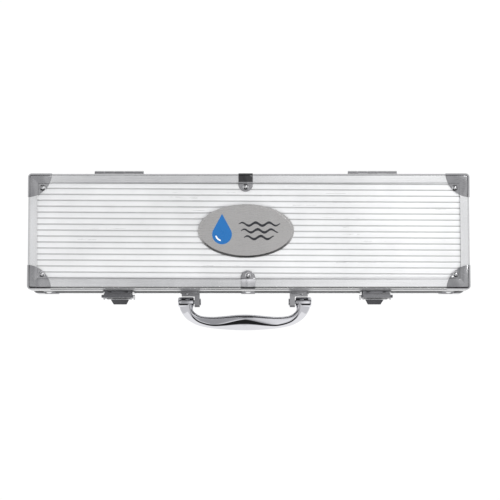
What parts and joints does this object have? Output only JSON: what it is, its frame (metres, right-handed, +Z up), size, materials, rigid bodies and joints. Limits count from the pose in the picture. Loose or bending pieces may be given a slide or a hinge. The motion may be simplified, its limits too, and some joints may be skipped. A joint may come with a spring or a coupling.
{
  "type": "water test kit",
  "caption": "Long aluminium carrying case with hinged lid, draw latches and chrome handle, holding a foam tray of water testing tools.",
  "frame": {"origin": "centre of the whole object's bounding box in X and Y, on the plane that the case rests on", "axes": "+X along the case to the right seen from the handle side, +Y from the handle towards the hinges, +Z up through the lid"},
  "size_m": [0.4266, 0.1558, 0.08],
  "materials": {
    "ribbed_skin": "ribbed, clear anodised",
    "rail_aluminium": "satin anodised extrusion",
    "cap_steel": "nickel plated pressing",
    "rivet_steel": "polished domes",
    "latch_steel": "nickel plated",
    "handle_chrome": "polished chrome plate",
    "badge_steel": "satin with a printed drop",
    "pin_steel": "turned",
    "black_lining": "flocked lining",
    "lid_foam": "profiled foam",
    "tray_foam": "dense closed-cell foam",
    "bottle_plastic": "translucent natural polyethylene",
    "reagent_liquid": "coloured reagent",
    "cap_red": "moulded",
    "cap_yellow": "moulded",
    "cap_blue": "moulded",
    "cap_green": "moulded",
    "clear_acrylic": "clear moulded acrylic",
    "colour_scale": "printed colour steps",
    "vial_glass": "clear glass",
    "vial_cap_black": "moulded",
    "meter_white": "moulded",
    "meter_blue": "moulded",
    "meter_window": "clear window",
    "display_grey": "liquid crystal",
    "button_rubber": "soft touch",
    "probe_black": "moulded",
    "cell_steel": "nickel plated cell",
    "board_green": "solder mask"
  },
  "bodies": {
    "base": {"base_bottom_panel": "ribbed_skin", "base_long_panels": "ribbed_skin", "base_end_panels": "ribbed_skin", "base_edge_rails": "rail_aluminium", "base_rim_frame": "rail_aluminium", "base_corner_caps": "cap_steel", "base_edge_clips": "cap_steel", "base_rivets": "rivet_steel", "base_lining": "black_lining", "foam_tray": "tray_foam", "hinge_base_leaves": "latch_steel", "hinge_pins": "pin_steel", "latch_plates": "latch_steel", "latch_lever_pins": "pin_steel", "handle_brackets": "handle_chrome", "handle_pins": "pin_steel", "reagent_bottles": "bottle_plastic", "reagent_liquids": "reagent_liquid", "comparator_block": "clear_acrylic", "comparator_scales": "colour_scale", "sample_vials": "vial_glass", "meter_front_shell": "meter_white", "meter_back_shell": "meter_blue", "meter_screen": "meter_window", "meter_electrodes": "probe_black", "meter_cells": "cell_steel", "meter_circuit_board": "board_green", "meter_display": "display_grey"},
    "lid": {"lid_top_panel": "ribbed_skin", "lid_long_panels": "ribbed_skin", "lid_end_panels": "ribbed_skin", "lid_edge_rails": "rail_aluminium", "lid_rim_frame": "rail_aluminium", "lid_corner_caps": "cap_steel", "lid_edge_clips": "cap_steel", "lid_rivets": "rivet_steel", "badge_plate": "badge_steel", "lid_lining": "black_lining", "lid_foam": "lid_foam", "latch_keepers": "latch_steel", "hinge_lid_leaves": "latch_steel"},
    "handle": {"handle_grip": "handle_chrome"},
    "latch_left_lever": {"latch_left_lever": "latch_steel", "latch_left_hook_pin": "pin_steel"},
    "latch_left_hook": {"latch_left_hook": "latch_steel"},
    "latch_right_lever": {"latch_right_lever": "latch_steel", "latch_right_hook_pin": "pin_steel"},
    "latch_right_hook": {"latch_right_hook": "latch_steel"},
    "reagent_cap_1": {"reagent_cap_1": "cap_red"},
    "reagent_cap_2": {"reagent_cap_2": "cap_yellow"},
    "reagent_cap_3": {"reagent_cap_3": "cap_blue"},
    "reagent_cap_4": {"reagent_cap_4": "cap_green"},
    "comparator_cap_1": {"comparator_cap_1": "cap_red"},
    "comparator_cap_2": {"comparator_cap_2": "cap_yellow"},
    "vial_cap_1": {"vial_cap_1": "vial_cap_black"},
    "vial_cap_2": {"vial_cap_2": "vial_cap_black"},
    "meter_power_button": {"meter_power_button": "button_rubber"},
    "meter_hold_button": {"meter_hold_button": "button_rubber"},
    "meter_battery_cap": {"meter_battery_cap": "meter_blue"},
    "meter_probe_cap": {"meter_probe_cap": "meter_blue"}
  },
  "joints": [
    {"name": "lid_hinge", "type": "hinge", "parent": "base", "child": "lid", "pos_m": [0, 0.07527, 0.0482], "axis": [-1, 0, 0], "range_deg": [0, 95]},
    {"name": "handle_swing", "type": "hinge", "parent": "base", "child": "handle", "pos_m": [-0.004, -0.04993, 0.026], "axis": [1, 0, 0], "range_deg": [-85, 47]},
    {"name": "latch_left_lever_turn", "type": "hinge", "parent": "base", "child": "latch_left_lever", "pos_m": [-0.1276, -0.04473, 0.04], "axis": [-1, 0, 0], "range_deg": [0, 120]},
    {"name": "latch_left_hook_turn", "type": "hinge", "parent": "latch_left_lever", "child": "latch_left_hook", "pos_m": [-0.1276, -0.04553, 0.032], "axis": [1, 0, 0], "range_deg": [0, 138]},
    {"name": "latch_right_lever_turn", "type": "hinge", "parent": "base", "child": "latch_right_lever", "pos_m": [0.1244, -0.04473, 0.04], "axis": [-1, 0, 0], "range_deg": [0, 120]},
    {"name": "latch_right_hook_turn", "type": "hinge", "parent": "latch_right_lever", "child": "latch_right_hook", "pos_m": [0.1244, -0.04553, 0.032], "axis": [1, 0, 0], "range_deg": [0, 138]},
    {"name": "reagent_cap_1_turn", "type": "hinge", "parent": "base", "child": "reagent_cap_1", "pos_m": [-0.184, 0.04057, 0.033], "axis": [0, 1, 0], "continuous": true},
    {"name": "reagent_cap_2_turn", "type": "hinge", "parent": "base", "child": "reagent_cap_2", "pos_m": [-0.154, 0.04057, 0.033], "axis": [0, 1, 0], "continuous": true},
    {"name": "reagent_cap_3_turn", "type": "hinge", "parent": "base", "child": "reagent_cap_3", "pos_m": [-0.124, 0.04057, 0.033], "axis": [0, 1, 0], "continuous": true},
    {"name": "reagent_cap_4_turn", "type": "hinge", "parent": "base", "child": "reagent_cap_4", "pos_m": [-0.094, 0.04057, 0.033], "axis": [0, 1, 0], "continuous": true},
    {"name": "comparator_cap_1_pull", "type": "slide", "parent": "base", "child": "comparator_cap_1", "axis": [0, 1, 0], "range_m": [0, 0.0065]},
    {"name": "comparator_cap_2_pull", "type": "slide", "parent": "base", "child": "comparator_cap_2", "axis": [0, 1, 0], "range_m": [0, 0.0065]},
    {"name": "vial_cap_1_turn", "type": "hinge", "parent": "base", "child": "vial_cap_1", "pos_m": [0.069, -0.00943, 0.031], "axis": [1, 0, 0], "continuous": true},
    {"name": "vial_cap_2_turn", "type": "hinge", "parent": "base", "child": "vial_cap_2", "pos_m": [0.163, -0.00943, 0.031], "axis": [1, 0, 0], "continuous": true},
    {"name": "meter_power_press", "type": "slide", "parent": "base", "child": "meter_power_button", "axis": [0, 0, -1], "range_m": [0, 0.0008], "stiffness_N_per_m": 800, "springref_m": -0.0005},
    {"name": "meter_hold_press", "type": "slide", "parent": "base", "child": "meter_hold_button", "axis": [0, 0, -1], "range_m": [0, 0.0008], "stiffness_N_per_m": 800, "springref_m": -0.0005},
    {"name": "meter_battery_cap_turn", "type": "hinge", "parent": "base", "child": "meter_battery_cap", "pos_m": [0.003, 0.03657, 0.031], "axis": [1, 0, 0], "continuous": true},
    {"name": "meter_probe_cap_pull", "type": "slide", "parent": "base", "child": "meter_probe_cap", "axis": [1, 0, 0], "range_m": [0, 0.024]}
  ],
  "couplings": [
    {"joint": "latch_left_hook_turn", "follows": "latch_left_lever_turn", "ratio": 1.15},
    {"joint": "latch_right_hook_turn", "follows": "latch_right_lever_turn", "ratio": 1.15}
  ]
}
